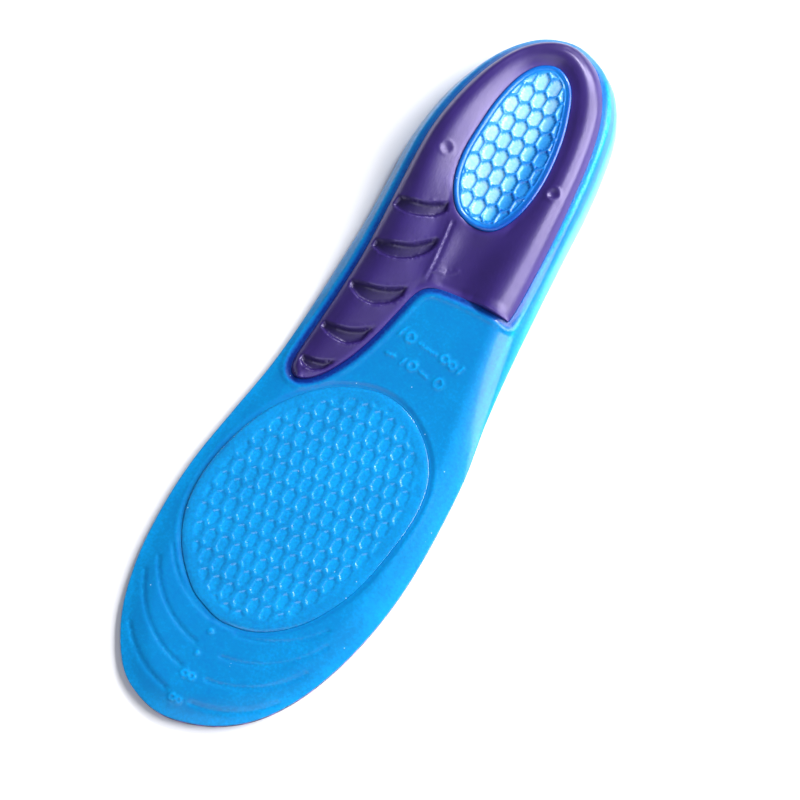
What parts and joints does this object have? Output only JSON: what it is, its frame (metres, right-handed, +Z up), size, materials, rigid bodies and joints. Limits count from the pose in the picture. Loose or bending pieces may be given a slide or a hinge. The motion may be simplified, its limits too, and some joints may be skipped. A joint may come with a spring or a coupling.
{
  "type": "cushioned insole",
  "caption": "Right-foot gel insole lying underside up: textile cover, gel body with trim grooves, violet heel and arch cradle, honeycomb heel and forefoot pads.",
  "frame": {"origin": "middle of the underside of the object's bounding box, on the surface that the insole lies on", "axes": "+Y runs from the toe to the heel, +X to the little-toe side, +Z up; the gel underside faces +Z and the cloth faces -Z"},
  "size_m": [0.0778, 0.2598, 0.0192],
  "materials": {
    "violet_knit": "fine knitted top cloth, matt, violet",
    "bond_film": "thin hot-melt web, hidden between cloth and gel",
    "blue_gel": "translucent blue elastomer gel with a soft satin skin",
    "violet_elastomer": "firmer violet elastomer, satin moulded skin",
    "pale_blue_gel": "translucent pale blue gel, glossy honeycomb",
    "blue_gel_pad": "translucent blue gel, satin honeycomb"
  },
  "bodies": {
    "root": {"top_cover": "violet_knit", "bond_film": "bond_film", "gel_body": "blue_gel", "heel_arch_cradle": "violet_elastomer", "heel_gel_pad": "pale_blue_gel", "ball_gel_pad": "blue_gel_pad"}
  },
  "joints": []
}
